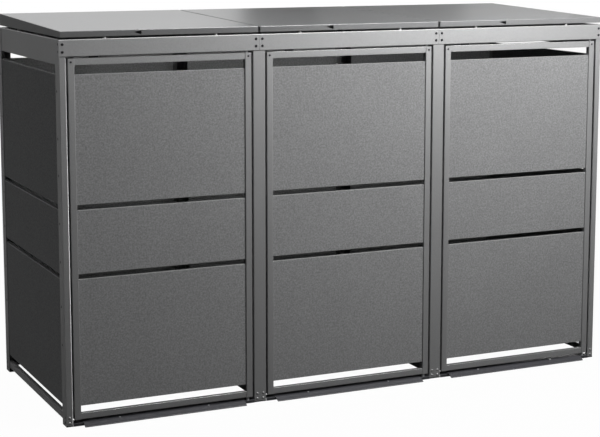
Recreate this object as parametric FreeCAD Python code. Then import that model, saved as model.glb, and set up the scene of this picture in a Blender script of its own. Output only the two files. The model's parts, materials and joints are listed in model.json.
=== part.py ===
import FreeCAD
import Part
import math
import os

# A triple wheelie bin store of folded sheet steel: three bays side by side, each with a door that
# swings out on two pivot pins and a lid that lifts on two butt hinges at the back.
# Millimetres. While it is built, X runs from the left side, Y from the front face towards the
# back and Z from the floor. Each piece is then moved so that the origin is at the bottom centre.

# Overall sizes
bay_names = ["left", "middle", "right"]
bay_pitch = 690.0
store_depth = 775.0
frame_height = 1266.5

# Sheet metal
frame_sheet = 2.0
panel_sheet = 1.5
door_sheet = 1.5
lid_sheet = 1.5

# Clearances
fit = 0.2
seat_gap = 0.3
pin_fit = 0.05
knuckle_gap = 0.5
cut_over = 1.0

# Posts
post_face = 22.0
post_leg = 44.0

# Top rails
rail_height = 54.7
rail_top_flange = 26.0
rail_bottom_flange = 36.0
rail_seam = 1.0
rail_end_gap = 1.0
side_rail_flange = 22.0
cross_rail_height = 38.0

# Base rails, sills and ramps
base_rail_bottom = 17.0
base_rail_height = 23.0
base_rail_flange = 16.0
sill_height = 10.0
sill_depth = 42.0
ramp_sheet = 2.5
ramp_left_inset = 56.0
ramp_right_inset = 61.0
ramp_reach = 24.0
ramp_lap = 22.0
ramp_toe = 3.0
ramp_bend = 4.0

# Slats of the doors, the sides and the back
slat_base = 66.0
short_slat = 210.0
slat_gap = 17.0
slat_return = 13.0

# Doors
door_side_gap = 6.5
door_top_gap = 6.0
door_floor_gap = 11.5
door_depth = 18.0
stile_width = 22.0
door_top_rail_height = 22.0
door_bottom_rail_height = 20.0
grip_gap = 30.0
slat_recess = 4.0

# Door pivots
pivot_inset = 15.0
pivot_pin_radius = 3.0
pivot_pin_reach = 9.0
pivot_nut_width = 10.0

# Magnetic catches
catch_width = 46.0
catch_height = 10.0
catch_depth = 13.0
catch_inset = 70.0
catch_flange = 2.5
catch_case_width = 28.0
catch_case_bevel = 1.5
pole_sheet = 1.2
pole_height = 7.0
pole_stand = 0.8

# Lids
lid_side_gap = 4.0
lid_rear_strip = 19.4
lid_air_gap = 7.0
lid_front_lip = 19.5
lid_rise = 22.5
lid_return = 14.0
lid_edge_radius = 2.0
notch_place = 275.5
notch_length = 25.0
notch_base = 3.5
notch_height = 12.0
notch_tip_height = 7.5
notch_tip = 1.5
stiffener_width = 60.0
stiffener_flange = 18.0
stiffener_depth = 15.0
stiffener_end = 28.0

# Lid hinges
hinge_length = 72.0
hinge_inset = 130.0
hinge_leaf = 1.5
hinge_leaf_height = 28.0
knuckle_radius = 3.2
hinge_pin_radius = 1.75
hinge_running_gap = 0.4
leaf_edge = 3.0

# Rubber bumpers
bumper_width = 10.0
bumper_bevel = 1.2
front_bumper_spread = 192.0
side_bumper_depth = 520.0

# Feet
foot_plate = 4.0
foot_plug_top = 44.0
foot_plug_depth = 21.0
rear_rail_lap = 10.0

# Places worked out from the sizes above
bay_count = len(bay_names)
store_width = bay_count * bay_pitch
lid_depth = store_depth - lid_rear_strip
rail_bottom = frame_height - rail_height
post_top = frame_height - frame_sheet
door_top = rail_bottom - door_top_gap
door_bottom = sill_height + door_floor_gap
door_front = frame_sheet
door_back = door_front + door_depth
slat_top = door_top - door_top_rail_height - grip_gap
side_rail_height = frame_height - slat_top - grip_gap
tall_slat = (slat_top - slat_base - short_slat - 2 * slat_gap) / 2
run_start = rail_top_flange + rail_end_gap
run_length = store_depth - 2 * run_start
lid_bottom = frame_height + lid_air_gap
hinge_axis_y = lid_depth + knuckle_radius
hinge_axis_z = frame_height + hinge_running_gap + knuckle_radius
pivot_y = door_front + door_depth / 2
origin_shift = FreeCAD.Vector(-store_width / 2, (ramp_reach - store_depth) / 2, 0)

parts_folder = "parts"


def save(name, solids):
    """Moves the solids to the final frame and writes them as one sub-part."""
    shape = solids[0] if len(solids) == 1 else Part.makeCompound(solids)
    placed = shape.copy()
    placed.translate(origin_shift)
    placed.exportStep(os.path.join(parts_folder, name + ".step"))
    print(name, len(placed.Solids), "solid(s)", "valid" if placed.isValid() else "NOT VALID")


def box(x0, x1, y0, y1, z0, z1):
    return Part.makeBox(x1 - x0, y1 - y0, z1 - z0, FreeCAD.Vector(x0, y0, z0))


def cylinder(radius, start, along, length):
    return Part.makeCylinder(radius, length, FreeCAD.Vector(*start), FreeCAD.Vector(*along))


def across(shape):
    """The same piece on the other side of the store, left for right."""
    return shape.mirror(FreeCAD.Vector(store_width / 2, 0, 0), FreeCAD.Vector(1, 0, 0))


def behind(shape):
    """The same piece on the other side of the store, front for back."""
    return shape.mirror(FreeCAD.Vector(0, store_depth / 2, 0), FreeCAD.Vector(0, 1, 0))


# Folded sheet metal
def direction(a, b):
    length = math.hypot(b[0] - a[0], b[1] - a[1])
    return ((b[0] - a[0]) / length, (b[1] - a[1]) / length)


def thicken(points, sheet):
    """The sheet's other face: the line moved to its left by the sheet, mitred at each fold."""
    normals = []
    for a, b in zip(points, points[1:]):
        along = direction(a, b)
        normals.append((-along[1], along[0]))
    moved = []
    for i, point in enumerate(points):
        before = normals[max(i - 1, 0)]
        after = normals[min(i, len(normals) - 1)]
        share = sheet / (1 + before[0] * after[0] + before[1] * after[1])
        moved.append((point[0] + share * (before[0] + after[0]), point[1] + share * (before[1] + after[1])))
    return moved


def rounded_line(points, radii):
    """Straight runs joined by tangent arcs, or by a plain corner where the radius is nought."""
    curves = []
    here = points[0]
    for i in range(1, len(points) - 1):
        corner = points[i]
        if radii[i] == 0:
            curves.append((here, corner))
            here = corner
            continue
        arrive = direction(points[i - 1], corner)
        leave = direction(corner, points[i + 1])
        half_turn = math.acos(arrive[0] * leave[0] + arrive[1] * leave[1]) / 2
        setback = radii[i] * math.tan(half_turn)
        bulge = radii[i] / math.cos(half_turn) - radii[i]
        inward = direction(arrive, leave)
        arc_start = (corner[0] - arrive[0] * setback, corner[1] - arrive[1] * setback)
        arc_end = (corner[0] + leave[0] * setback, corner[1] + leave[1] * setback)
        arc_middle = (corner[0] + inward[0] * bulge, corner[1] + inward[1] * bulge)
        curves.append((here, arc_start))
        curves.append((arc_start, arc_middle, arc_end))
        here = arc_end
    curves.append((here, points[-1]))
    return curves


def folded(points, sheet, run, start, length, rounded=True):
    """A folded strip. The metal lies to the left of the line of points, in the plane across the
    run: (Y, Z) for a run along x, (X, Z) along y and (X, Y) along z. The outside of each fold is
    rounded by the sheet's own thickness, but for the folds that nobody sees."""
    inner_line = thicken(points, sheet)
    line_radii = [0] * len(points)
    inner_radii = [0] * len(points)
    for i in range(1, len(points) - 1):
        a = direction(points[i - 1], points[i])
        b = direction(points[i], points[i + 1])
        turns_left = a[0] * b[1] - a[1] * b[0] > 0
        if rounded and turns_left:
            line_radii[i] = sheet
        elif rounded:
            inner_radii[i] = sheet
    flat = rounded_line(points, line_radii)
    flat.append((points[-1], inner_line[-1]))
    flat += rounded_line(inner_line[::-1], inner_radii[::-1])
    flat.append((inner_line[0], points[0]))

    def lift(p):
        if run == "x":
            return FreeCAD.Vector(start, p[0], p[1])
        if run == "y":
            return FreeCAD.Vector(p[0], start, p[1])
        return FreeCAD.Vector(p[0], p[1], start)

    edges = []
    for curve in flat:
        lifted = [lift(p) for p in curve]
        if len(lifted) == 3:
            edges.append(Part.Arc(*lifted).toShape())
        else:
            edges.append(Part.LineSegment(*lifted).toShape())
    along = {"x": (length, 0, 0), "y": (0, length, 0), "z": (0, 0, length)}[run]
    return Part.Face(Part.Wire(edges)).extrude(FreeCAD.Vector(*along))


def pan(x0, x1, y0, z0, z1, sheet):
    """A flat face with a return folded back along all four sides and open behind."""
    outer = box(x0, x1, y0, y0 + slat_return, z0, z1)
    inner = box(x0 + sheet, x1 - sheet, y0 + sheet, y0 + slat_return + cut_over, z0 + sheet, z1 - sheet)
    return outer.cut(inner)


def soft_front(shape, sheet):
    """The piece with the edges of its front face rounded by as much as the sheet is thick."""
    y = shape.BoundBox.YMin
    edges = [e for e in shape.Edges if e.BoundBox.YMax < y + sheet / 2]
    return shape.makeFillet(sheet, edges)


# Frame
def corner_post(rounded):
    points = [(0, frame_sheet + post_leg), (0, frame_sheet), (post_face, frame_sheet)]
    return folded(points, frame_sheet, "z", foot_plate, post_top - foot_plate, rounded)


def mid_post(seam, rounded):
    x = seam * bay_pitch
    near = frame_sheet
    far = frame_sheet + post_leg
    points = [(x - post_face, far), (x - post_face, near), (x + post_face, near), (x + post_face, far)]
    return folded(points, frame_sheet, "z", foot_plate, post_top - foot_plate, rounded)


def top_rail(bay, height, bottom_flange, rounded):
    """One bay's top rail. Its face covers the posts, its bottom flange runs between them."""
    low = frame_height - height
    x0 = bay * bay_pitch + (rail_seam / 2 if bay > 0 else 0)
    x1 = (bay + 1) * bay_pitch - (rail_seam / 2 if bay < bay_count - 1 else 0)
    points = [(rail_top_flange, frame_height), (0, frame_height), (0, low), (bottom_flange, low)]
    rail = folded(points, frame_sheet, "x", x0, x1 - x0, rounded)
    notch_end = post_face + fit
    notch_top = low + frame_sheet + fit
    left_notch = (x0 - cut_over, bay * bay_pitch + notch_end)
    right_notch = ((bay + 1) * bay_pitch - notch_end, x1 + cut_over)
    for a, b in [left_notch, right_notch]:
        rail = rail.cut(box(a, b, frame_sheet, bottom_flange + cut_over, low - cut_over, notch_top))
    return rail


def side_channel(low, height, flange, rounded):
    """A rail along the left side, its face behind the posts and its flanges turned in."""
    face = frame_sheet
    top = low + height
    points = [(face + flange, low), (face, low), (face, top), (face + flange, top)]
    return folded(points[::-1], frame_sheet, "y", run_start, run_length, rounded)


def cross_channel(seam, top, height):
    """A rail from the front middle post to the rear one, seated between the legs of both."""
    x = seam * bay_pitch
    half = post_face - frame_sheet - fit
    low = top - height
    points = [(x + half, low), (x + half, top), (x - half, top), (x - half, low)]
    return folded(points, frame_sheet, "y", run_start, run_length, False)


def rear_base_rail(bay):
    y = store_depth - 2 * frame_sheet
    top = base_rail_bottom + base_rail_height
    x0 = bay * bay_pitch + post_face + (fit if bay > 0 else -rear_rail_lap)
    x1 = (bay + 1) * bay_pitch - post_face - (fit if bay < bay_count - 1 else -rear_rail_lap)
    points = [(y - base_rail_flange, base_rail_bottom), (y, base_rail_bottom), (y, top),
              (y - base_rail_flange, top)]
    return folded(points, frame_sheet, "x", x0, x1 - x0, False)


def sill(bay):
    """A low threshold between two front posts, folded down at the front and the back."""
    x0 = bay * bay_pitch + post_face + fit
    x1 = (bay + 1) * bay_pitch - post_face - fit
    points = [(sill_depth, 0), (sill_depth, sill_height), (0, sill_height), (0, 0)]
    return folded(points, frame_sheet, "x", x0, x1 - x0, False)


def ramp(bay):
    """A sloping lip in front of the sill, with a flange that laps over it."""
    x0 = bay * bay_pitch + ramp_left_inset
    x1 = (bay + 1) * bay_pitch - ramp_right_inset
    shelf = sill_height + ramp_sheet
    points = [(-ramp_reach, ramp_toe), (-ramp_bend, shelf), (ramp_lap, shelf), (ramp_lap, sill_height),
              (0, sill_height), (-ramp_reach + ramp_toe, 0), (-ramp_reach, 0)]
    corners = [FreeCAD.Vector(x0, y, z) for y, z in points]
    return Part.Face(Part.makePolygon(corners + corners[:1])).extrude(FreeCAD.Vector(x1 - x0, 0, 0))


def foot(x0, x1, plug_end):
    """A plastic foot under a post, its plug standing up inside the folded steel."""
    inside = frame_sheet + fit
    near = frame_sheet + inside
    plate = box(x0, x1, frame_sheet, frame_sheet + post_leg, 0, foot_plate)
    plug = box(x0 + inside, plug_end, near, near + foot_plug_depth, 0, foot_plug_top)
    return plate.fuse(plug).removeSplitter()


def post_feet():
    corner = foot(0, post_face, post_face - rear_rail_lap - fit)
    feet = [corner]
    for seam in range(1, bay_count):
        x = seam * bay_pitch
        feet.append(foot(x - post_face, x + post_face, x + post_face - frame_sheet - fit))
    feet.append(across(corner))
    return feet + [behind(piece) for piece in feet]


def bumper(x, y):
    """A rubber buffer on a top rail, just under a lid's folded edge, its top edges bevelled."""
    half = bumper_width / 2
    top = lid_bottom - seat_gap
    block = box(x - half, x + half, y - half, y + half, frame_height, top)
    rim = [e for e in block.Edges if all(v.Point.z > top - bumper_bevel for v in e.Vertexes)]
    return block.makeChamfer(bumper_bevel, rim)


def rail_bumpers():
    pieces = []
    edge = lid_side_gap + lid_return / 2
    for bay in range(bay_count):
        left = bay * bay_pitch
        middle = left + bay_pitch / 2
        for x in [middle - front_bumper_spread, middle + front_bumper_spread]:
            pieces.append(bumper(x, lid_return / 2))
        for x in [left + edge, left + bay_pitch - edge]:
            pieces.append(bumper(x, side_bumper_depth))
    return pieces


# Walls
def slat_levels():
    """The bottom and top of the lower, the middle and the upper slat."""
    lower = (slat_base, slat_base + tall_slat)
    middle = (lower[1] + slat_gap, lower[1] + slat_gap + short_slat)
    upper = (middle[1] + slat_gap, middle[1] + slat_gap + tall_slat)
    return {"lower": lower, "middle": middle, "upper": upper}


def side_slat(low, high):
    face = frame_sheet
    points = [(face + slat_return, high), (face, high), (face, low), (face + slat_return, low)]
    return folded(points, panel_sheet, "y", run_start, run_length, False)


def rear_slat(bay, low, high):
    """One pan of the back wall. At a corner it laps behind the post, elsewhere it butts its leg."""
    x0 = bay * bay_pitch + (post_face if bay > 0 else 2 * frame_sheet)
    x1 = (bay + 1) * bay_pitch - (post_face if bay < bay_count - 1 else 2 * frame_sheet)
    return behind(pan(x0, x1, 2 * frame_sheet, low, high, panel_sheet))


# Doors
def door_left(bay):
    return bay * bay_pitch + post_face + door_side_gap


def door_right(bay):
    return (bay + 1) * bay_pitch - post_face - door_side_gap


def pivot_x(bay):
    return door_right(bay) - pivot_inset


def pivot_hole(bay, radius, low, high):
    """A round hole about a door's pivot, through what lies between the two levels."""
    return cylinder(radius, (pivot_x(bay), pivot_y, low - cut_over), (0, 0, 1), high - low + 2 * cut_over)


def door_stiles(bay):
    stiles = []
    for x0 in [door_left(bay), door_right(bay) - stile_width]:
        x1 = x0 + stile_width
        points = [(x0, door_back), (x0, door_front), (x1, door_front), (x1, door_back)]
        stile = folded(points, door_sheet, "z", door_bottom, door_top - door_bottom)
        inner_side = x1 if x0 == door_left(bay) else x0
        a = inner_side - door_sheet - fit
        b = inner_side + door_sheet + fit
        lap = door_front + door_sheet
        over = cut_over
        top_notch = box(a, b, lap, door_back + over, door_top - door_top_rail_height - fit, door_top + over)
        low_notch = box(a, b, lap, door_back + over, door_bottom - over,
                        door_bottom + door_bottom_rail_height + fit)
        stiles.append(stile.cut(top_notch).cut(low_notch))
    return stiles


def door_rail(bay, low, high, bored_z):
    """A cross rail whose ends lap behind the faces of both stiles. One flange turns on a pivot pin."""
    x0 = door_left(bay) + door_sheet + fit
    x1 = door_right(bay) - door_sheet - fit
    face = door_front + door_sheet
    points = [(door_back, high), (face, high), (face, low), (door_back, low)]
    rail = folded(points, door_sheet, "x", x0, x1 - x0, False)
    return rail.cut(pivot_hole(bay, pivot_pin_radius + pin_fit, bored_z, bored_z + door_sheet))


def door_slat(bay, low, high):
    x0 = door_left(bay) + stile_width
    x1 = door_right(bay) - stile_width
    return soft_front(pan(x0, x1, door_front + slat_recess, low, high, door_sheet), door_sheet)


def pivot_pin(bay, low, high):
    """A steel stud welded to the frame, through its nut and the flange of a door rail."""
    return cylinder(pivot_pin_radius, (pivot_x(bay), pivot_y, low), (0, 0, 1), high - low)


def pivot_nut(bay, low, high):
    """The hexagonal nut on a stud, which keeps the door off the frame."""
    sides = 6
    corner_radius = pivot_nut_width / 2 / math.cos(math.pi / sides)
    middle = FreeCAD.Vector(pivot_x(bay), pivot_y, low)
    corners = []
    for i in range(sides):
        turn = 2 * math.pi * i / sides
        reach = FreeCAD.Vector(corner_radius * math.cos(turn), corner_radius * math.sin(turn), 0)
        corners.append(middle + reach)
    nut = Part.Face(Part.makePolygon(corners + corners[:1])).extrude(FreeCAD.Vector(0, 0, high - low))
    return nut.cut(pivot_hole(bay, pivot_pin_radius, low, high))


def door_pivot_pins():
    pins = []
    for bay in range(bay_count):
        pins.append(pivot_pin(bay, door_top - pivot_pin_reach, rail_bottom))
        pins.append(pivot_pin(bay, sill_height, door_bottom + pivot_pin_reach))
    return pins


def door_pivot_nuts():
    nuts = []
    for bay in range(bay_count):
        nuts.append(pivot_nut(bay, door_top + seat_gap, rail_bottom))
        nuts.append(pivot_nut(bay, sill_height, door_bottom - seat_gap))
    return nuts


def magnetic_catch(bay):
    """A catch under the front rail: flange, case and two pole plates just behind the door's top rail."""
    x0 = door_left(bay) + catch_inset
    y0 = door_back + seat_gap
    y1 = y0 + catch_depth
    low = rail_bottom - catch_height
    flange = box(x0, x0 + catch_width, y0 + pole_stand, y1, rail_bottom - catch_flange, rail_bottom)
    case_left = x0 + (catch_width - catch_case_width) / 2
    case_right = case_left + catch_case_width
    case = box(case_left, case_right, y0 + pole_stand, y1, low, rail_bottom)
    rim = [e for e in case.Edges if all(v.Point.z < rail_bottom - cut_over for v in e.Vertexes)]
    catch = flange.fuse(case.makeChamfer(catch_case_bevel, rim))
    pole_top = rail_bottom - catch_flange
    for x in [case_left + 2 * catch_case_bevel, case_right - 2 * catch_case_bevel - pole_sheet]:
        catch = catch.fuse(box(x, x + pole_sheet, y0, y0 + catch_depth / 2, pole_top - pole_height, pole_top))
    return catch.removeSplitter()


# Lids
def lid_left(bay):
    return bay * bay_pitch + lid_side_gap


def lid_width():
    return bay_pitch - 2 * lid_side_gap


def lid_slope():
    return lid_rise / lid_depth


def wedge(x0, x1, y0, y1, z0, front_top):
    """A block with a sloping top that rises towards the back."""
    back_top = front_top + (y1 - y0) * lid_slope()
    points = [(y0, z0), (y0, front_top), (y1, back_top), (y1, z0)]
    corners = [FreeCAD.Vector(x0, y, z) for y, z in points]
    return Part.Face(Part.makePolygon(corners + corners[:1])).extrude(FreeCAD.Vector(x1 - x0, 0, 0))


def lid_tray(bay):
    """A shallow tray upside down: sloping top, four lips, and a return under three of them."""
    x0 = lid_left(bay)
    x1 = x0 + lid_width()
    outer = wedge(x0, x1, 0, lid_depth, lid_bottom, lid_bottom + lid_front_lip)
    top_edges = [e for e in outer.Edges if min(v.Point.z for v in e.Vertexes) > lid_bottom + lid_sheet]
    outer = outer.makeFillet(lid_edge_radius, top_edges)
    s = lid_sheet
    inner = wedge(x0 + s, x1 - s, s, lid_depth - s, lid_bottom + s,
                  lid_bottom + lid_front_lip - s * (1 - lid_slope()))
    mouth = box(x0 + lid_return, x1 - lid_return, lid_return, lid_depth - s, lid_bottom - cut_over,
                lid_bottom + s + cut_over)
    return outer.cut(inner).cut(mouth).cut(lip_notch(bay))


def lip_notch(bay):
    """The small wedge cut in the front lip: upright on its right side, tapering away to the left."""
    right = bay * bay_pitch + notch_place
    left = right - notch_length
    base = lid_bottom + notch_base
    tip = base + notch_tip_height
    points = [(right, base), (right, base + notch_height), (left, tip + notch_tip), (left, tip)]
    corners = [FreeCAD.Vector(x, -cut_over, z) for x, z in points]
    face = Part.Face(Part.makePolygon(corners + corners[:1]))
    return face.extrude(FreeCAD.Vector(0, lid_sheet + 2 * cut_over, 0))


def lid_stiffener(bay):
    """A hat section spot-welded under the middle of the lid, following its slope."""
    middle = lid_left(bay) + lid_width() / 2
    start = stiffener_end
    run = lid_depth - 2 * stiffener_end
    top = lid_bottom + lid_front_lip - lid_sheet + start * lid_slope()
    half = stiffener_width / 2
    rib = half - stiffener_flange
    low = top - stiffener_depth
    points = [(middle - half, top), (middle - rib, top), (middle - rib, low), (middle + rib, low),
              (middle + rib, top), (middle + half, top)]
    hat = folded(points[::-1], lid_sheet, "y", start, run, False)
    tilt = FreeCAD.Matrix()
    tilt.A32 = lid_slope()
    tilt.A34 = -start * lid_slope()
    return hat.transformGeometry(tilt)


# Lid hinges
def hinge_places(bay):
    x0 = lid_left(bay)
    return [x0 + hinge_inset, x0 + lid_width() - hinge_inset]


def knuckle_spans(x):
    """The three knuckles of one hinge, as start and end along its pin."""
    third = hinge_length / 3
    start = x - hinge_length / 2
    spans = []
    for i in range(3):
        a = start + i * third + (knuckle_gap / 2 if i > 0 else 0)
        b = start + (i + 1) * third - (knuckle_gap / 2 if i < 2 else 0)
        spans.append((a, b))
    return spans


def knuckle(span):
    return cylinder(knuckle_radius, (span[0], hinge_axis_y, hinge_axis_z), (1, 0, 0), span[1] - span[0])


def pin_bore(x):
    return cylinder(hinge_pin_radius + pin_fit, (x - hinge_length, hinge_axis_y, hinge_axis_z), (1, 0, 0),
                    2 * hinge_length)


def frame_leaf(x):
    """The fixed leaf: flat on the rear rail's top, with the two outer knuckles."""
    spans = knuckle_spans(x)
    clear = hinge_axis_y + knuckle_radius + hinge_running_gap
    base = frame_height
    edge = store_depth - leaf_edge
    leaf = box(spans[0][0], spans[2][1], clear, edge, base, base + hinge_leaf)
    for span in [spans[0], spans[2]]:
        leaf = leaf.fuse(box(span[0], span[1], hinge_axis_y, clear + cut_over, base, base + hinge_leaf))
        leaf = leaf.fuse(knuckle(span))
    return leaf.removeSplitter().cut(pin_bore(x))


def lid_leaf(x):
    """The moving leaf: upright on the lid's rear lip, with the middle knuckle."""
    spans = knuckle_spans(x)
    clear = hinge_axis_z + knuckle_radius + hinge_running_gap
    near = lid_depth
    top = hinge_axis_z + hinge_leaf_height
    leaf = box(spans[0][0], spans[2][1], near, near + hinge_leaf, clear, top)
    leaf = leaf.fuse(box(spans[1][0], spans[1][1], near, near + hinge_leaf, hinge_axis_z, clear + cut_over))
    return leaf.fuse(knuckle(spans[1])).removeSplitter().cut(pin_bore(x))


def hinge_pin(x):
    return cylinder(hinge_pin_radius, (x - hinge_length / 2, hinge_axis_y, hinge_axis_z), (1, 0, 0),
                    hinge_length)


# Writing the sub-parts
def write_frame():
    bays = range(bay_count)
    seams = range(1, bay_count)
    post = corner_post(True)
    rear_post = behind(corner_post(False))
    save("corner_post_front_left", [post])
    save("corner_post_front_right", [across(post)])
    save("corner_post_rear_left", [rear_post])
    save("corner_post_rear_right", [across(rear_post)])
    for seam, side in zip(seams, ["left", "right"]):
        save("mid_post_front_" + side, [mid_post(seam, True)])
        save("mid_post_rear_" + side, [behind(mid_post(seam, False))])
    for bay in bays:
        save("front_rail_" + bay_names[bay], [top_rail(bay, rail_height, rail_bottom_flange, True)])
    save("rear_rails", [behind(top_rail(bay, side_rail_height, rail_top_flange, False)) for bay in bays])
    side_rail = side_channel(frame_height - side_rail_height, side_rail_height, side_rail_flange, True)
    save("side_rail_left", [side_rail])
    save("side_rail_right", [across(side_rail)])
    save("cross_rails", [cross_channel(seam, frame_height, cross_rail_height) for seam in seams])
    base_rail = side_channel(base_rail_bottom, base_rail_height, base_rail_flange, False)
    base_top = base_rail_bottom + base_rail_height
    depth_rails = [base_rail, across(base_rail)]
    depth_rails += [cross_channel(seam, base_top, base_rail_height) for seam in seams]
    save("base_rails", depth_rails)
    save("rear_base_rails", [rear_base_rail(bay) for bay in bays])
    save("front_sills", [sill(bay) for bay in bays])
    save("ramps", [ramp(bay) for bay in bays])
    save("post_feet", post_feet())
    save("rail_bumpers", rail_bumpers())


def write_walls():
    levels = slat_levels().values()
    side = [side_slat(low, high) for low, high in levels]
    save("side_slats_left", side)
    save("side_slats_right", [across(piece) for piece in side])
    save("rear_slats", [rear_slat(bay, low, high) for bay in range(bay_count) for low, high in levels])


def write_doors():
    for bay, side in enumerate(bay_names):
        name = "door_" + side + "_"
        save(name + "stiles", door_stiles(bay))
        top_low = door_top - door_top_rail_height
        save(name + "top_rail", [door_rail(bay, top_low, door_top, door_top - door_sheet)])
        bottom_high = door_bottom + door_bottom_rail_height
        save(name + "bottom_rail", [door_rail(bay, door_bottom, bottom_high, door_bottom)])
        for level, (low, high) in slat_levels().items():
            save(name + level + "_slat", [door_slat(bay, low, high)])
    save("door_pivot_pins", door_pivot_pins())
    save("door_pivot_nuts", door_pivot_nuts())
    save("door_catches", [magnetic_catch(bay) for bay in range(bay_count)])


def write_lids():
    frame_leaves = []
    pins = []
    for bay, side in enumerate(bay_names):
        places = hinge_places(bay)
        save("lid_" + side + "_tray", [lid_tray(bay)])
        save("lid_" + side + "_stiffener", [lid_stiffener(bay)])
        save("lid_" + side + "_hinge_leaves", [lid_leaf(x) for x in places])
        frame_leaves += [frame_leaf(x) for x in places]
        pins += [hinge_pin(x) for x in places]
    save("lid_hinge_frame_leaves", frame_leaves)
    save("lid_hinge_pins", pins)


os.makedirs(parts_folder, exist_ok=True)
write_frame()
write_walls()
write_doors()
write_lids()
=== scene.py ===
import json
import math

import bmesh
import bpy
from mathutils import Matrix, Vector

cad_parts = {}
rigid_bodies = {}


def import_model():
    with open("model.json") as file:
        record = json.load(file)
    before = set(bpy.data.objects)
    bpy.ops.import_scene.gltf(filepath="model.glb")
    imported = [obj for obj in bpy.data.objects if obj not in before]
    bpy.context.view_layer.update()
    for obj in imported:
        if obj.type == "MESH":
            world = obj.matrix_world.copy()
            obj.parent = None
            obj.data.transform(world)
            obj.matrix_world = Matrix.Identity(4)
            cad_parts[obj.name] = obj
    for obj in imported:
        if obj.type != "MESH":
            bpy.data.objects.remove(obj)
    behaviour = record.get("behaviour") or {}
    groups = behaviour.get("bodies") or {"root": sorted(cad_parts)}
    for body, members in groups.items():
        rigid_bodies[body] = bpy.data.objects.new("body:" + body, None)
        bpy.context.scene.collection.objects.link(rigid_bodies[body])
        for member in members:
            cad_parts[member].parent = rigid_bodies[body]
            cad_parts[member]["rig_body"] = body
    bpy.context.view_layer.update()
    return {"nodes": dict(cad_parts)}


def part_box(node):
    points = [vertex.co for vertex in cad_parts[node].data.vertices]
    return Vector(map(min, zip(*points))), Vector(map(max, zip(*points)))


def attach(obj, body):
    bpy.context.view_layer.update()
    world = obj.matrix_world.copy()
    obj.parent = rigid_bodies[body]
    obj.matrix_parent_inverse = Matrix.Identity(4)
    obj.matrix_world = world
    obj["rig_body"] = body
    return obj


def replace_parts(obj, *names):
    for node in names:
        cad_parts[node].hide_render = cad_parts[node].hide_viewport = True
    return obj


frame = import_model()
print("frame loaded:", len(frame["nodes"]), "nodes")

# everything below is measured in millimetres from the store's left side, front face and floor
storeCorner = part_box("front_rail_left")[0]
bay = {"names": ["left", "middle", "right"], "pitch": 690, "depth": 775}
seams = [number * bay["pitch"] for number in range(len(bay["names"]) + 1)]
bayStarts = seams[:-1]
storeWidth = seams[-1]


def at(x, y, z):
    return Vector((storeCorner.x + x / 1000, storeCorner.y + y / 1000, z / 1000))


def mm(size):
    return size / 1000


# camera, set where the photograph was taken from
view = {"from": (-1406, -4831, 1595), "turnRight": 24.932, "lookDown": 8.082,
        "lens": 94.57, "sensor": 36, "shiftUp": -0.10, "sight": 60}
bpy.ops.object.camera_add(location=at(*view["from"]))
camera = bpy.context.object
camera.name = "camera"
camera.rotation_euler = (math.radians(90 - view["lookDown"]), 0, math.radians(-view["turnRight"]))
camera.data.lens = view["lens"]
camera.data.sensor_width = view["sensor"]
camera.data.shift_y = view["shiftUp"]
camera.data.clip_end = view["sight"]
bpy.context.scene.camera = camera
bpy.context.scene.view_settings.view_transform = "Standard"
print("camera set")


# small helpers for node trees
def addNode(tree, kind, **settings):
    node = tree.nodes.new(kind)
    for name, value in settings.items():
        setattr(node, name, value)
    return node


def join(tree, fromNode, output, toNode, socket):
    tree.links.new(fromNode.outputs[output], toNode.inputs[socket])


def fill(node, values):
    for socket, value in values.items():
        node.inputs[socket].default_value = value


def newMaterial(name):
    material = bpy.data.materials.new(name)
    material.use_nodes = True
    return material


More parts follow.
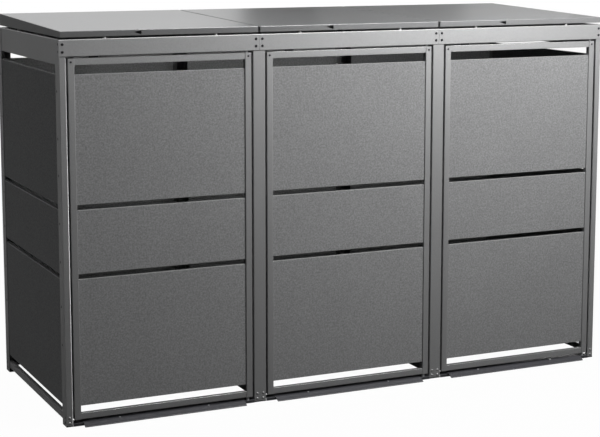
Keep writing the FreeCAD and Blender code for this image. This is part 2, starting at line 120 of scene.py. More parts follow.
# studio: a white surround that the camera and glossy rays see, and weak grey light for the rest.
# lamps, cards and floor stand at places in millimetres, and their own sizes are in metres
studio = {
    "white": (1, 1, 1, 1), "ambientTint": (0.95, 0.98, 1, 1), "ambient": 0.06,
    "floorGrey": (0.42, 0.42, 0.42, 1), "floorWhite": 0.98, "floorSize": 30,
    "clothGrey": (0.01, 0.01, 0.01, 1), "clothRoughness": 0.9,
    "lamps": {
        "topLight": {"place": (1500, -1100, 2900), "aim": (1200, 0, 900),
                     "size": 1.0, "tall": 1.0, "power": 58},
        "keyLight": {"place": (2200, -1200, 1900), "aim": (1500, 0, 1100),
                     "size": 0.8, "tall": 0.8, "power": 20},
        "backLight": {"place": (3600, 3800, 900), "aim": (1300, 775, 700),
                      "size": 1.6, "tall": 1.2, "power": 42},
    },
    "cards": {      # grey is how bright a card glows, bounce whether diffuse rays meet it too
        "softCard": {"place": (4600, -5000, 1700), "aim": (1500, 0, 1000),
                     "wide": 3, "high": 1.6, "grey": 2.0, "bounce": False},
        "sideFlag": {"place": (-2600, 3200, 1000), "aim": (0, 400, 1000),
                     "wide": 8, "high": 3.1, "grey": 0.14, "bounce": False},
        "sideFloorFlag": {"place": (-2300, 2400, 2), "aim": (-2300, 2400, 900),
                          "wide": 4.6, "high": 6.4, "grey": 0.13, "bounce": True},
        "leftFlag": {"place": (-5200, -2200, 1200), "aim": (0, 300, 700),
                     "wide": 6, "high": 5, "grey": 0.14, "bounce": True},
        "rearFlag": {"place": (3520, 4900, 2800), "aim": (1100, 400, 1300),
                     "wide": 1.55, "high": 2.4, "grey": 0, "bounce": True},
        "farFlag": {"place": (5300, 4900, 2300), "aim": (1700, 300, 1300),
                    "wide": 2.4, "high": 2.4, "grey": 0.4, "bounce": True},
        "frontFlag": {"place": (350, -5600, 1600), "aim": (350, 0, 500),
                      "wide": 11.7, "high": 6, "grey": 0, "bounce": True},
        "floorFlag": {"place": (350, -2400, 2), "aim": (350, -2400, 900),
                      "wide": 11.7, "high": 7.2, "grey": 0, "bounce": True},
        "rearFloorFlag": {"place": (2530, 3350, 2), "aim": (2530, 3350, 900),
                          "wide": 5, "high": 5, "grey": 0.08, "bounce": True},
        "rearLowFlag": {"place": (1400, 5900, 350), "aim": (1400, 0, 350),
                        "wide": 10, "high": 1.7, "grey": 0.08, "bounce": True},
    },
}


def whiteForSight(tree):        # 1 for rays that show the surround: camera, glossy and transmission
    path = addNode(tree, "ShaderNodeLightPath")
    first = addNode(tree, "ShaderNodeMath", operation="MAXIMUM")
    both = addNode(tree, "ShaderNodeMath", operation="MAXIMUM")
    join(tree, path, "Is Camera Ray", first, 0)
    join(tree, path, "Is Glossy Ray", first, 1)
    join(tree, first, 0, both, 0)
    join(tree, path, "Is Transmission Ray", both, 1)
    return both


def makeWorld():
    world = bpy.data.worlds.new("studioSurround")
    bpy.context.scene.world = world
    world.use_nodes = True
    tree = world.node_tree
    tree.nodes.clear()
    white = addNode(tree, "ShaderNodeBackground")
    fill(white, {"Color": studio["white"]})
    grey = addNode(tree, "ShaderNodeBackground")
    fill(grey, {"Color": studio["ambientTint"], "Strength": studio["ambient"]})
    mix = addNode(tree, "ShaderNodeMixShader")
    out = addNode(tree, "ShaderNodeOutputWorld")
    join(tree, whiteForSight(tree), 0, mix, 0)
    join(tree, grey, 0, mix, 1)
    join(tree, white, 0, mix, 2)
    join(tree, mix, 0, out, "Surface")


def makeFloor():
    bpy.ops.mesh.primitive_plane_add(size=studio["floorSize"], location=(0, 0, 0))
    floor = bpy.context.object
    floor.name = "studioFloor"
    pale = newMaterial("paleFloor")
    tree = pale.node_tree
    tree.nodes.clear()
    matt = addNode(tree, "ShaderNodeBsdfDiffuse")
    fill(matt, {"Color": studio["floorGrey"]})
    lit = addNode(tree, "ShaderNodeEmission")
    fill(lit, {"Color": studio["white"]})
    share = addNode(tree, "ShaderNodeMath", operation="MULTIPLY")
    fill(share, {1: studio["floorWhite"]})
    mix = addNode(tree, "ShaderNodeMixShader")
    out = addNode(tree, "ShaderNodeOutputMaterial")
    join(tree, whiteForSight(tree), 0, share, 0)
    join(tree, share, 0, mix, 0)
    join(tree, matt, 0, mix, 1)
    join(tree, lit, 0, mix, 2)
    join(tree, mix, 0, out, "Surface")
    floor.data.materials.append(pale)


def turnedTo(look, axis):       # the turn that points an axis from a thing's place at its aim
    return (at(*look["aim"]) - at(*look["place"])).to_track_quat(axis, "Y").to_euler()


def makeLamp(name, lamp):
    bpy.ops.object.light_add(type="AREA", location=at(*lamp["place"]))
    light = bpy.context.object
    light.name = name
    light.data.shape = "RECTANGLE"
    light.data.size = lamp["size"]
    light.data.size_y = lamp["tall"]
    light.data.energy = lamp["power"]
    light.visible_camera = False
    light.rotation_euler = turnedTo(lamp, "-Z")
    return light


def makeCard(name, card):       # flags take white out of the reflections, the soft card puts some back
    bpy.ops.mesh.primitive_plane_add(size=1, location=at(*card["place"]))
    board = bpy.context.object
    board.name = name
    board.scale = (card["wide"], card["high"], 1)
    board.rotation_euler = turnedTo(card, "Z")
    board.visible_camera = False
    board.visible_shadow = False
    board.visible_diffuse = card["bounce"]
    cloth = newMaterial("cardCloth")
    fill(cloth.node_tree.nodes["Principled BSDF"], {
        "Base Color": studio["clothGrey"], "Roughness": studio["clothRoughness"],
        "Emission Color": studio["white"], "Emission Strength": card["grey"]})
    board.data.materials.append(cloth)


makeWorld()
makeFloor()
for name, lamp in studio["lamps"].items():
    makeLamp(name, lamp)
for name, card in studio["cards"].items():
    makeCard(name, card)
print("studio lit")


# parts that the procedural materials share
def addNoise(tree, where, scale, detail):
    noise = addNode(tree, "ShaderNodeTexNoise")
    fill(noise, {"Scale": scale, "Detail": detail})
    join(tree, where, "Object", noise, "Vector")
    return noise


def addTones(tree, noise, span, low, high):     # a ramp between two colours
    tones = addNode(tree, "ShaderNodeValToRGB")
    for stop, position, colour in zip(tones.color_ramp.elements, span, (low, high)):
        stop.position = position
        stop.color = [*colour, 1]
    join(tree, noise, 0, tones, 0)
    return tones


def addSpread(tree, noise, low, high):
    spread = addNode(tree, "ShaderNodeMapRange")
    fill(spread, {"To Min": low, "To Max": high})
    join(tree, noise, 0, spread, 0)
    return spread


def addBump(tree, noise, strength, depth, shader):
    bump = addNode(tree, "ShaderNodeBump")
    fill(bump, {"Strength": strength, "Distance": depth})
    join(tree, noise, 0, bump, "Height")
    join(tree, bump, 0, shader, "Normal")


# powder coat: a fine grained paint with flecks, slow shifts of tone and a pebbled surface
coatGrain = {"fineDetail": 3, "fleckDetail": 2, "cloudDetail": 2, "fleckSpan": (0.30, 0.70),
             "sheenSwing": 0.06, "pebbleDepth": 0.0003}


def powderCoat(name, look):
    coat = newMaterial(name)
    tree = coat.node_tree
    shader = tree.nodes["Principled BSDF"]
    where = addNode(tree, "ShaderNodeTexCoord")
    fine = addNoise(tree, where, look["grainScale"], coatGrain["fineDetail"])
    fleck = addNoise(tree, where, look["fleckScale"], coatGrain["fleckDetail"])
    cloud = addNoise(tree, where, look["cloudScale"], coatGrain["cloudDetail"])
    darker = [channel * (1 - look["fleckDepth"]) for channel in look["colour"]]
    lighter = [channel * (1 + look["fleckDepth"]) for channel in look["colour"]]
    flecked = addTones(tree, fleck, coatGrain["fleckSpan"], darker, lighter)
    toned = addNode(tree, "ShaderNodeHueSaturation")
    level = addSpread(tree, cloud, 1 - look["cloudDepth"], 1 + look["cloudDepth"])
    join(tree, level, 0, toned, "Value")
    join(tree, flecked, 0, toned, "Color")
    join(tree, toned, 0, shader, "Base Color")
    swing = coatGrain["sheenSwing"]
    sheen = addSpread(tree, fine, look["roughness"] - swing, look["roughness"] + swing)
    join(tree, sheen, 0, shader, "Roughness")
    addBump(tree, fine, look["pebble"], coatGrain["pebbleDepth"], shader)
    fill(shader, {"Specular IOR Level": look["specular"], "Metallic": look["metallic"]})
    return coat


coats = {
    "frame": {"colour": (0.400, 0.401, 0.403), "grainScale": 1400, "fleckScale": 420,
              "fleckDepth": 0.10, "cloudScale": 5, "cloudDepth": 0.03, "roughness": 0.49,
              "pebble": 0.2, "specular": 0.5, "metallic": 0.9},
    # a lighter, glossier coat on the frame's rounded edges and folds: a painted highlight
    "frameEdgePaintedHighlight": {"colour": (0.440, 0.442, 0.445), "grainScale": 1400, "fleckScale": 420,
                  "fleckDepth": 0.12, "cloudScale": 9, "cloudDepth": 0.10, "roughness": 0.28,
                  "pebble": 0.1, "specular": 0.5, "metallic": 0.85},
    "panel": {"colour": (0.275, 0.276, 0.278), "grainScale": 900, "fleckScale": 190,
              "fleckDepth": 0.22, "cloudScale": 7, "cloudDepth": 0.05, "roughness": 0.68,
              "pebble": 0.45, "specular": 0.2, "metallic": 0},
    # a much lighter, metallic coat on the panels' rounded edges and folds: a painted highlight
    "panelEdgePaintedHighlight": {"colour": (0.620, 0.622, 0.625), "grainScale": 900, "fleckScale": 300,
                  "fleckDepth": 0.15, "cloudScale": 9, "cloudDepth": 0.10, "roughness": 0.28,
                  "pebble": 0.2, "specular": 0.5, "metallic": 0.8},
    "lid": {"colour": (0.235, 0.237, 0.240), "grainScale": 1400, "fleckScale": 420,
            "fleckDepth": 0.08, "cloudScale": 4, "cloudDepth": 0.03, "roughness": 0.30,
            "pebble": 0.15, "specular": 0.6, "metallic": 0.45},
    # a darker, matt coat on the lid's rounded edges: a painted shade line
    "lidEdgePaintedShade": {"colour": (0.090, 0.091, 0.093), "grainScale": 1400, "fleckScale": 420,
                "fleckDepth": 0.12, "cloudScale": 9, "cloudDepth": 0.10, "roughness": 0.50,
                "pebble": 0.1, "specular": 0.3, "metallic": 0},
    "ramp": {"colour": (0.042, 0.042, 0.048), "grainScale": 1200, "fleckScale": 300,
             "fleckDepth": 0.2, "cloudScale": 9, "cloudDepth": 0.08, "roughness": 0.42,
             "pebble": 0.2, "specular": 0.5, "metallic": 0},
    # a much lighter coat on the ramp's and sills' rounded edges: a painted highlight
    "rampEdgePaintedHighlight": {"colour": (0.220, 0.220, 0.225), "grainScale": 1200, "fleckScale": 300,
                 "fleckDepth": 0.2, "cloudScale": 9, "cloudDepth": 0.08, "roughness": 0.36,
                 "pebble": 0.1, "specular": 0.5, "metallic": 0.3},
}
paint = {name: powderCoat(name + "Coat", look) for name, look in coats.items()}


# zinc, rubber and plastic: two tones in small stains, rougher where they are dull
stainGrain = {"detail": 4, "span": (0.35, 0.7), "sheenSwing": 0.08, "bump": 0.15, "bumpDepth": 0.0001}


def stainedFinish(name, look):
    finish = newMaterial(name)
    tree = finish.node_tree
    shader = tree.nodes["Principled BSDF"]
    where = addNode(tree, "ShaderNodeTexCoord")
    stain = addNoise(tree, where, look["stainScale"], stainGrain["detail"])
    tones = addTones(tree, stain, stainGrain["span"], look["dull"], look["bright"])
    join(tree, tones, 0, shader, "Base Color")
    swing = stainGrain["sheenSwing"]
    sheen = addSpread(tree, stain, look["roughness"] + swing, look["roughness"] - swing)
    join(tree, sheen, 0, shader, "Roughness")
    addBump(tree, stain, stainGrain["bump"], stainGrain["bumpDepth"], shader)
    fill(shader, {"Metallic": look["metallic"]})
    return finish


stained = {
    "brightZinc": {"dull": (0.58, 0.59, 0.60), "bright": (0.78, 0.79, 0.80), "stainScale": 700,
                   "roughness": 0.32, "metallic": 0.5},
    "blackZinc": {"dull": (0.020, 0.020, 0.022), "bright": (0.045, 0.045, 0.048), "stainScale": 900,
                  "roughness": 0.40, "metallic": 0.6},
    "whiteRubber": {"dull": (0.72, 0.72, 0.70), "bright": (0.84, 0.84, 0.82), "stainScale": 300,
                    "roughness": 0.5, "metallic": 0.0},
    "blackPlastic": {"dull": (0.016, 0.016, 0.017), "bright": (0.030, 0.030, 0.032), "stainScale": 800,
                     "roughness": 0.5, "metallic": 0.0},
}
paint.update({name: stainedFinish(name, look) for name, look in stained.items()})
print("materials mixed")


# folded sheet pieces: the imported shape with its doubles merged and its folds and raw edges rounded
sheetForm = {"mergeGap": 0.000002, "flatAngle": 0.5, "foldSteps": 3, "edgeSteps": 2, "lessEase": 0.25,
             "badArea": 1e-5, "badTurn": 0.5}
foldAngle = math.radians(40)


def chooseOnly(*pieces):
    bpy.ops.object.select_all(action="DESELECT")
    for piece in pieces:
        piece.select_set(True)
    bpy.context.view_layer.objects.active = pieces[-1]


sameWay = 0.9       # least dot product at which a face counts as facing a direction


def pickFaces(piece, wanted):
    chooseOnly(piece)
    bpy.ops.object.mode_set(mode="EDIT")
    bpy.ops.mesh.select_mode(type="FACE")
    bpy.ops.mesh.select_all(action="DESELECT")
    bpy.ops.object.mode_set(mode="OBJECT")
    for face in piece.data.polygons:
        face.select = wanted(face)
    bpy.ops.object.mode_set(mode="EDIT")


def markFolds(piece, width):            # bevel weight on outer folds, where two broad faces meet
    form = bmesh.new()
    form.from_mesh(piece.data)
    weight = form.edges.layers.float.new("bevel_weight_edge")
    for edge in form.edges:
        if len(edge.link_faces) == 2 and edge.is_convex and edge.calc_face_angle() > foldAngle:
            reach = [face.calc_area() / edge.calc_length() for face in edge.link_faces]
            if min(reach) > width:
                edge[weight] = 1
    form.to_mesh(piece.data)
    form.free()


def bevelled(piece, width, segments, method, coatIndex=-1):
    bevel = piece.modifiers.new("easedEdges", "BEVEL")
    bevel.width = mm(width)
    bevel.segments = segments
    bevel.limit_method = method
    bevel.angle_limit = foldAngle
    bevel.material = coatIndex
    bpy.ops.object.modifier_apply(modifier="easedEdges")


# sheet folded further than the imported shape: its faces in a box, cut off first at a plane
# where one is given, are drawn out
widened = {
    "corner_post_front_left": {"cut": (20, 0, 0), "facing": (0, 1, 0), "from": (20, 3, 0),
                               "to": (23, 5, 1300), "by": (0, 10, 0)},
    "corner_post_front_right": {"cut": (2050, 0, 0), "facing": (0, 1, 0), "from": (2047, 3, 0),
                                "to": (2050, 5, 1300), "by": (0, 10, 0)},
    "corner_post_rear_left": {"facing": (1, 0, 0), "from": (20, 770, 0), "to": (23, 774, 1300),
                              "by": (23, 0, 0)},
    "corner_post_rear_right": {"facing": (-1, 0, 0), "from": (2047, 770, 0), "to": (2050, 774, 1300),
                               "by": (-23, 0, 0)},
    "door_left_stiles": {"facing": (0, 1, 0), "from": (28, 19, 0), "to": (31, 21, 1300),
                         "by": (0, 5, 0)},
    "door_middle_stiles": {"facing": (0, 1, 0), "from": (718, 19, 0), "to": (721, 21, 1300),
                           "by": (0, 5, 0)},
    "door_right_stiles": {"facing": (0, 1, 0), "from": (1408, 19, 0), "to": (1411, 21, 1300),
                          "by": (0, 5, 0)},
}


def drawnOut(piece, rim):
    low, high = at(*rim["from"]), at(*rim["to"])
    if "cut" in rim:
        bpy.ops.object.mode_set(mode="EDIT")
        bpy.ops.mesh.select_all(action="SELECT")
        bpy.ops.mesh.bisect(plane_co=at(*rim["cut"]), plane_no=(1, 0, 0))
        bpy.ops.object.mode_set(mode="OBJECT")

    def onRim(face):
        inside = all(low[axis] <= face.center[axis] <= high[axis] for axis in range(3))
        return inside and face.normal.dot(Vector(rim["facing"])) > sameWay

    pickFaces(piece, onRim)
    bpy.ops.mesh.extrude_region_move(TRANSFORM_OT_translate={"value": mm(Vector(rim["by"]))})
    bpy.ops.mesh.select_all(action="SELECT")
    bpy.ops.mesh.normals_make_consistent(inside=False)
    bpy.ops.object.mode_set(mode="OBJECT")


# whether a triangle of some size turns away from its face's normals. across is as long as twice
# the triangle's area, and badArea is that measure in square metres
def shadesBadly(piece):
    mesh = piece.data
    mesh.calc_loop_triangles()
    shading = mesh.corner_normals
    for part in mesh.loop_triangles:
        first, second, third = (mesh.vertices[corner].co for corner in part.vertices)
        across = (second - first).cross(third - first)
        if across.length > sheetForm["badArea"]:
            least = min(shading[corner].vector.dot(across) for corner in part.loops)
            if least < sheetForm["badTurn"] * across.length:
                return True
    return False


def roundings(fold, ease):      # from full to none: where a sheet has no room for one, it gets the next
    return ((fold, ease), (fold, ease * sheetForm["lessEase"]), (fold, 0), (0, ease), (0, 0))


def easedSheet(node, coat, edgeCoat, ease, fold):
    source = frame["nodes"][node]
    piece = bpy.data.objects.new(node + "_sheet", source.data.copy())
    bpy.context.collection.objects.link(piece)
    chooseOnly(piece)
    bpy.ops.mesh.customdata_custom_splitnormals_clear()
    bpy.ops.object.mode_set(mode="EDIT")
    bpy.ops.mesh.select_all(action="SELECT")
    bpy.ops.mesh.remove_doubles(threshold=sheetForm["mergeGap"])
    bpy.ops.mesh.dissolve_limited(angle_limit=math.radians(sheetForm["flatAngle"]))
    bpy.ops.object.mode_set(mode="OBJECT")
    piece.data.materials.clear()
    piece.data.materials.append(coat)
    piece.data.materials.append(edgeCoat)
    if node in widened:
        drawnOut(piece, widened[node])
    if fold:
        markFolds(piece, mm(fold) * 2)
    sharp = piece.data
    # the rounded folds and edges take the second coat: a lighter painted highlight on frame, panel and
    # ramp sheets, a darker painted shade on the lid
    for foldWidth, easeWidth in roundings(fold, ease):
        piece.data = sharp.copy()
        if foldWidth:
            bevelled(piece, foldWidth, sheetForm["foldSteps"], "WEIGHT", 1)
        if easeWidth:
            bevelled(piece, easeWidth, sheetForm["edgeSteps"], "ANGLE", 1)
        bpy.ops.object.shade_smooth_by_angle(angle=foldAngle)
        flats = piece.modifiers.new("flatFaces", "WEIGHTED_NORMAL")
        flats.keep_sharp = True
        bpy.ops.object.modifier_apply(modifier="flatFaces")
        if not shadesBadly(piece):
            break
    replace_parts(piece, node)
    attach(piece, source["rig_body"])
    return piece


remade = ["rail_bumpers", "door_pivot_nuts", "door_pivot_pins"]     # made anew further down

# for each packed material: its coat, the coat of its edges (a painted highlight on frame, panel and ramp,
# a painted shade on the lid, the same coat on zinc and plastic), how far cut edges and folds are rounded
finishes = {
    "frame_steel": {"coat": "frame", "edge": "frameEdgePaintedHighlight", "ease": 0.7, "fold": 1.8},
    "panel_steel": {"coat": "panel", "edge": "panelEdgePaintedHighlight", "ease": 0.4, "fold": 1.8},
    "lid_steel": {"coat": "lid", "edge": "lidEdgePaintedShade", "ease": 0.35, "fold": 0},
    "ramp_steel": {"coat": "ramp", "edge": "rampEdgePaintedHighlight", "ease": 0.5, "fold": 0},
    "zinc_steel": {"coat": "brightZinc", "edge": "brightZinc", "ease": 0.2, "fold": 0},
    "black_plastic": {"coat": "blackPlastic", "edge": "blackPlastic", "ease": 0.5, "fold": 0},
}
sheets = {}
for node, source in list(frame["nodes"].items()):
    if node in remade:
        continue
    slot = source.data.materials[0].name
    # the front sills take the ramp's dark coat as painted shade under the doors, and its lighter edge coat
    # as a painted highlight on their fold
    look = finishes["ramp_steel" if node == "front_sills" else slot]
    sheets[node] = easedSheet(node, paint[look["coat"]], paint[look["edge"]],
                              look["ease"], look["fold"])
print("sheet pieces finished")

# the light that the walls would pass round inside, on the back wall's slats only
innerLamps = {
    "leftInnerLight": {"place": (560, 70, 1150), "aim": (300, 773, 1250),
                       "size": 0.2, "tall": 0.04, "power": 0.7},
    "middleInnerLight": {"place": (1250, 70, 1150), "aim": (990, 773, 1250),
                         "size": 0.2, "tall": 0.04, "power": 1.0},
    "rightInnerLight": {"place": (1940, 70, 1150), "aim": (1680, 773, 1250),
                        "size": 0.2, "tall": 0.04, "power": 0.3},
}
backWall = bpy.data.collections.new("backWall")
backWall.objects.link(sheets["rear_slats"])
for name, lamp in innerLamps.items():
    makeLamp(name, lamp).light_linking.receiver_collection = backWall


# small helpers for new pieces: each kind is shaped once at the origin, then copied to its places
def turned(name, rings, sides=24):      # drawn upwards ring by ring, each ring a radius and a height
    bpy.ops.object.select_all(action="DESELECT")
    radius, height = rings[0]
    bpy.ops.mesh.primitive_circle_add(vertices=sides, radius=mm(radius), fill_type="NGON",
                                      location=(0, 0, mm(height)))
    piece = bpy.context.object
    piece.name = name
    bpy.ops.object.transform_apply(location=True)
    bpy.ops.object.mode_set(mode="EDIT")
    bpy.ops.mesh.select_all(action="SELECT")
    for nextRadius, nextHeight in rings[1:]:
        grow = nextRadius / radius
        bpy.ops.mesh.extrude_region_move(TRANSFORM_OT_translate={"value": (0, 0, mm(nextHeight - height))})
        bpy.ops.transform.resize(value=(grow, grow, 1), center_override=(0, 0, 0))
        radius, height = nextRadius, nextHeight
    bpy.ops.mesh.select_all(action="SELECT")
    bpy.ops.mesh.normals_make_consistent(inside=False)
    bpy.ops.object.mode_set(mode="OBJECT")
    return piece


def combine(piece, tool, operation):
    step = piece.modifiers.new("combine", "BOOLEAN")
    step.operation = operation
    step.solver = "MANIFOLD"
    step.object = tool
    chooseOnly(piece)
    bpy.ops.object.modifier_apply(modifier="combine")
    bpy.data.objects.remove(tool)


def cornerRadius(width):        # of a hexagon, from its width across the flats
    return width / 2 / math.cos(math.pi / 6)


def prism(name, width, low, high):
    bpy.ops.object.select_all(action="DESELECT")
    bpy.ops.mesh.primitive_cylinder_add(vertices=6, radius=mm(cornerRadius(width)),
                                        depth=mm(high - low), location=(0, 0, mm(low + high) / 2))
    piece = bpy.context.object
    piece.name = name
    bpy.ops.object.transform_apply(location=True)
    return piece


def smoothed(piece, coat, angle=35):
    piece.data.materials.clear()
    piece.data.materials.append(coat)
    chooseOnly(piece)
    bpy.ops.object.shade_smooth_by_angle(angle=math.radians(angle))
    return piece


facings = {"front": (0, -1, 0), "back": (0, 1, 0), "left": (-1, 0, 0), "right": (1, 0, 0),
           "up": (0, 0, 1), "down": (0, 0, -1)}
spinStep = 41       # degrees from one copy to the next, so that no two sockets stand alike


def copied(master, name, spots):        # one piece made of copies, each spot a place and the way it faces
    copies = []
    for number, (place, facing) in enumerate(spots):
        piece = master.copy()
        piece.data = master.data.copy()
        bpy.context.collection.objects.link(piece)
        turn = Vector(facings["up"]).rotation_difference(Vector(facings[facing])).to_matrix().to_4x4()
        spin = Matrix.Rotation(math.radians(spinStep * number), 4, "Z")
        piece.matrix_world = Matrix.Translation(at(*place)) @ turn @ spin
        copies.append(piece)
    chooseOnly(*copies)
    bpy.ops.object.transform_apply(location=True, rotation=True, scale=True)
    if len(copies) > 1:
        bpy.ops.object.join()
    piece = bpy.context.object
    piece.name = name
    return piece


def fitted(master, name, spots, body):
    piece = copied(master, name, spots)
    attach(piece, body)
    return piece


# bolts, screws and rivets, each as rings of radius and height above the face it sits on
heads = {
    "buttonHead": {"rings": [(4.4, 0), (4.5, 0.4), (4.2, 1.3), (3.5, 2.1), (2.5, 2.6)],
                   "socket": 3.0, "floor": 0.9, "finish": "blackZinc"},
    "domeHead": {"rings": [(4.0, 0), (4.1, 0.3), (3.9, 0.8), (3.4, 1.4), (2.6, 1.9), (1.5, 2.2)],
                 "socket": 2.0, "floor": 1.2, "finish": "frame"},
    "panHead": {"rings": [(3.4, 0), (3.5, 0.3), (3.3, 1.0), (2.6, 1.5), (1.6, 1.7)],
                "socket": 2.0, "floor": 0.7, "finish": "brightZinc"},
    "doorHead": {"rings": [(3.4, 0), (3.5, 0.3), (3.3, 1.0), (2.6, 1.5), (1.6, 1.7)],
                 "socket": 2.0, "floor": 0.7, "finish": "blackZinc"},
    "flushHead": {"rings": [(2.6, -1.9), (4.6, -0.15), (4.6, -0.05)],
                  "socket": 2.5, "floor": -1.3, "finish": "blackZinc"},
    "rivetHead": {"rings": [(2.9, 0), (3.0, 0.2), (2.7, 0.7), (1.9, 1.0), (1.1, 1.05), (0.9, 0.6)],
                  "finish": "brightZinc"},
}
flushHole = [(2.8, -2.4), (2.8, -2.0), (4.8, 0), (4.8, 0.6)]


def makeHead(name, look):
    head = turned(name, look["rings"])
    if "socket" in look:
        mouth = look["rings"][-1][1] + 1        # past the head's top
        combine(head, prism("socket", look["socket"], look["floor"], mouth), "DIFFERENCE")
    return smoothed(head, paint[look["finish"]])


masters = {name: makeHead(name, look) for name, look in heads.items()}
masters["flushHole"] = turned("flushHole", flushHole)
print("heads turned")

fastenings = {
    "railLevels": [1227.5, 1251.5], "rearRailLevels": [1197, 1252], "railSide": 11.5,
    "footLevels": [13, 30.6], "footSide": 11, "footDepth": 15,
    "panelLevels": [270, 397, 545, 671, 828, 947, 1100], "panelDepth": 33,
    "postFace": 2, "rearPostFace": 773,
}


def besideSeams(offset):        # places a little way in from each post's middle, on both of its sides
    return [x for seam in seams for x in (seam - offset, seam + offset) if 0 < x < storeWidth]


def frameBolts(look):
    railPlaces = besideSeams(look["railSide"])
    footPlaces = besideSeams(look["footSide"])
    spots = [((x, 0, z), "front") for x in railPlaces for z in look["railLevels"]]
    fitted(masters["buttonHead"], "rail_bolts", spots, "frame")
    spots = [((x, look["postFace"], z), "front") for x in footPlaces for z in look["footLevels"]]
    fitted(masters["domeHead"], "post_foot_bolts", spots, "frame")
    levels = look["footLevels"] + look["panelLevels"]
    spots = [((x, look["rearPostFace"], z), "back") for x in footPlaces for z in levels]
    fitted(masters["rivetHead"], "rear_post_rivets", spots, "frame")


def sunkScrews(node, spots):    # screws let into a sheet, so that nothing stands proud of the store's box
    fitted(masters["flushHead"], node + "_screws", spots, "frame")
    combine(sheets[node], copied(masters["flushHole"], "holes", spots), "DIFFERENCE")


def sideScrews(look):
    for side, x in (("left", 0), ("right", storeWidth)):
        for end, along in (("front", lambda y: y), ("rear", lambda y: bay["depth"] - y)):
            spots = [((x, along(look["railSide"]), z), side) for z in look["railLevels"]]
            spots += [((x, along(look["footDepth"]), z), side) for z in look["footLevels"]]
            spots += [((x, along(look["panelDepth"]), z), side) for z in look["panelLevels"]]
            sunkScrews("corner_post_" + end + "_" + side, spots)
    places = besideSeams(look["railSide"])
    spots = [((x, bay["depth"], z), "back") for x in places for z in look["rearRailLevels"]]
    sunkScrews("rear_rails", spots)


frameBolts(fastenings)
sideScrews(fastenings)
print("frame bolts and screws set")


# hexagonal nuts with chamfered corners, and threaded studs
nutForm = {"faceRadius": 0.46, "chamfer": 0.12, "sides": 36, "smoothAngle": 25}
threadForm = {"root": 0.84, "crest": 0.99, "tip": 0.8, "crestAt": 0.35, "rootAt": 0.9,
              "sides": 20, "smoothAngle": 60}


def hexNut(name, wide, high, bore, coat):
    nut = prism(name, wide, 0, high)
    face, corner = wide * nutForm["faceRadius"], cornerRadius(wide)
    low, top = high * nutForm["chamfer"], high * (1 - nutForm["chamfer"])
    rings = [(face, 0), (corner, low), (corner, top), (face, high)]
    combine(nut, turned("rounding", rings, nutForm["sides"]), "INTERSECT")
    combine(nut, turned("bore", [(bore, -1), (bore, high + 1)]), "DIFFERENCE")
    return smoothed(nut, coat, nutForm["smoothAngle"])


def threadedStud(name, radius, pitch, long, coat):
    root, crest = radius * threadForm["root"], radius * threadForm["crest"]
    rings = [(root, 0)]
    for turn in range(int(long / pitch)):
        rings.append((crest, (turn + threadForm["crestAt"]) * pitch))
        rings.append((root, (turn + threadForm["rootAt"]) * pitch))
    rings.append((radius * threadForm["tip"], long))
    return smoothed(turned(name, rings, threadForm["sides"]), coat, threadForm["smoothAngle"])


pivots = {"x": 646.5, "y": 11, "studs": {"top": (1196.8, 1211.8), "low": (10, 30.5)}, "studRadius": 3.0,
          "pitch": 1.0, "nutWidth": 10, "nutHeight": 5.55, "nutLevels": (1206.15, 10, 15.6)}


def doorPivots(look):
    places = [left + look["x"] for left in bayStarts]
    zinc = paint["brightZinc"]
    for end, (low, high) in look["studs"].items():
        stud = threadedStud(end + "Stud", look["studRadius"], look["pitch"], high - low, zinc)
        studs = fitted(stud, "pivot_studs_" + end, [((x, look["y"], low), "up") for x in places],
                       "frame")
        if end == "top":
            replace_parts(studs, "door_pivot_pins")
        bpy.data.objects.remove(stud)
    nut = hexNut("pivotNut", look["nutWidth"], look["nutHeight"], look["studRadius"], zinc)
    spots = [((x, look["y"], z), "up") for x in places for z in look["nutLevels"]]
    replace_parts(fitted(nut, "pivot_nuts", spots, "frame"), "door_pivot_nuts")
    bpy.data.objects.remove(nut)


doorPivots(pivots)


# nuts inside the posts, on the bolts of the front rails
innerNuts = {"width": 8, "height": 4, "bore": 2.6, "y": 4}


def railNuts(look):
    nut = hexNut("railNut", look["width"], look["height"], look["bore"], paint["brightZinc"])
    places = besideSeams(fastenings["railSide"])
    spots = [((x, look["y"], z), "back") for x in places for z in fastenings["railLevels"]]
    fitted(nut, "rail_nuts", spots, "frame")
    bpy.data.objects.remove(nut)


railNuts(innerNuts)
print("pivots and nuts set")

# soft round buffers that the lids rest on
buffers = {"rings": [(4.7, 0), (5.0, 0.4), (5.0, 3.2), (4.8, 4.6), (4.2, 5.7), (3.1, 6.4), (1.6, 6.7)],
           "sides": 28, "smoothAngle": 50, "base": 1266.5,
           "frontSpread": 192, "frontDepth": 7, "sideInset": 11, "sideDepth": 520}


def lidBuffers(look):
    buffer = turned("buffer", look["rings"], look["sides"])
    smoothed(buffer, paint["whiteRubber"], look["smoothAngle"])
    spots = []
    for left in bayStarts:
        middle = left + bay["pitch"] / 2
        places = [(middle - look["frontSpread"], look["frontDepth"]),
                  (middle + look["frontSpread"], look["frontDepth"]),
                  (left + look["sideInset"], look["sideDepth"]),
                  (left + bay["pitch"] - look["sideInset"], look["sideDepth"])]
        spots += [((x, y, look["base"]), "up") for x, y in places]
    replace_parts(fitted(buffer, "lid_buffers", spots, "frame"), "rail_bumpers")
    bpy.data.objects.remove(buffer)


lidBuffers(buffers)

# screws of the doors, the catches and the entry lips, and the pans that the catches hold
doorScrews = {"x": (39, 651), "level": 1194.5, "face": 2}
catches = {"screwX": (103, 140), "screwY": 27.3, "screwLevel": 1209.3,
           "strike": {"x": (98.5, 144.5), "y": (12, 19.9), "z": (1185.4, 1204.2), "wall": 1.2,
                      "ease": 0.4}}
lipScrews = {"x": (182, 498), "y": 0.5, "level": 12.5}


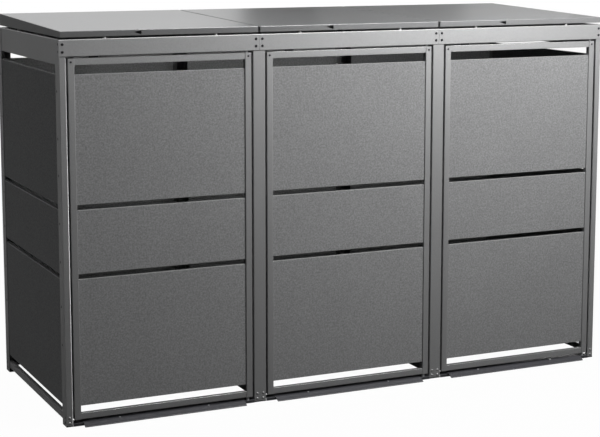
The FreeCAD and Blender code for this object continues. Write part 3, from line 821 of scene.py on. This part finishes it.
def strikePan(name, look, left):        # welded in a door's top rail, its flat back meets the magnet
    low = at(left + look["x"][0], look["y"][0], look["z"][0])
    high = at(left + look["x"][1], look["y"][1], look["z"][1])
    bpy.ops.object.select_all(action="DESELECT")
    bpy.ops.mesh.primitive_cube_add(size=1, location=(low + high) / 2)
    pan = bpy.context.object
    pan.name = name
    pan.scale = high - low
    bpy.ops.object.transform_apply(location=True, rotation=True, scale=True)
    pickFaces(pan, lambda face: face.normal.y < -sameWay)
    bpy.ops.mesh.inset(thickness=mm(look["wall"]))
    depth = look["y"][1] - look["y"][0] - look["wall"]
    bpy.ops.mesh.extrude_region_move(TRANSFORM_OT_translate={"value": (0, mm(depth), 0)})
    bpy.ops.mesh.select_all(action="SELECT")
    bpy.ops.mesh.normals_make_consistent(inside=False)
    bpy.ops.object.mode_set(mode="OBJECT")
    chooseOnly(pan)
    bevelled(pan, look["ease"], sheetForm["edgeSteps"], "ANGLE")
    return smoothed(pan, paint["brightZinc"])


for left, name in zip(bayStarts, bay["names"]):
    body = "door_" + name
    spots = [((left + x, doorScrews["face"], doorScrews["level"]), "front") for x in doorScrews["x"]]
    fitted(masters["doorHead"], body + "_screws", spots, body)
    strike = strikePan(body + "_strike", catches["strike"], left)
    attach(strike, body)
spots = [((left + x, catches["screwY"], catches["screwLevel"]), "down")
         for left in bayStarts for x in catches["screwX"]]
fitted(masters["panHead"], "catch_screws", spots, "frame")
spots = [((left + x, lipScrews["y"], lipScrews["level"]), "up")
         for left in bayStarts for x in lipScrews["x"]]
fitted(masters["panHead"], "lip_screws", spots, "frame")
print("doors fitted out")

# rivets of the lid hinges, and the spot welds that hold the stiffeners, along the slope of the lid
hinges = {"x": (134, 556), "rivets": (-26, 0, 26), "frameY": 767.3, "frameLevel": 1268, "lidY": 757.1,
          "lidLevel": 1287}
welds = {"rings": [(2.8, -0.1), (2.6, 0.2), (1.7, 0.25), (1.3, 0.1)], "sides": 16, "across": (324, 366),
         "from": 60, "step": 90, "count": 8, "level": 1290, "slope": 22.5 / 755.6}
rivetPlaces = [x + shift for x in hinges["x"] for shift in hinges["rivets"]]
weld = smoothed(turned("weld", welds["rings"], welds["sides"]), paint["lid"])
for left, name in zip(bayStarts, bay["names"]):
    body = "lid_" + name
    spots = [((left + x, hinges["lidY"], hinges["lidLevel"]), "back") for x in rivetPlaces]
    fitted(masters["rivetHead"], body + "_rivets", spots, body)
    runs = [welds["from"] + welds["step"] * number for number in range(welds["count"])]
    spots = [((left + x, y, welds["level"] + y * welds["slope"]), "down")
             for x in welds["across"] for y in runs]
    fitted(weld, body + "_spot_welds", spots, body)
spots = [((left + x, hinges["frameY"], hinges["frameLevel"]), "up")
         for left in bayStarts for x in rivetPlaces]
fitted(masters["rivetHead"], "hinge_rivets", spots, "frame")
for master in list(masters.values()) + [weld]:
    bpy.data.objects.remove(master)
print("hinges riveted")
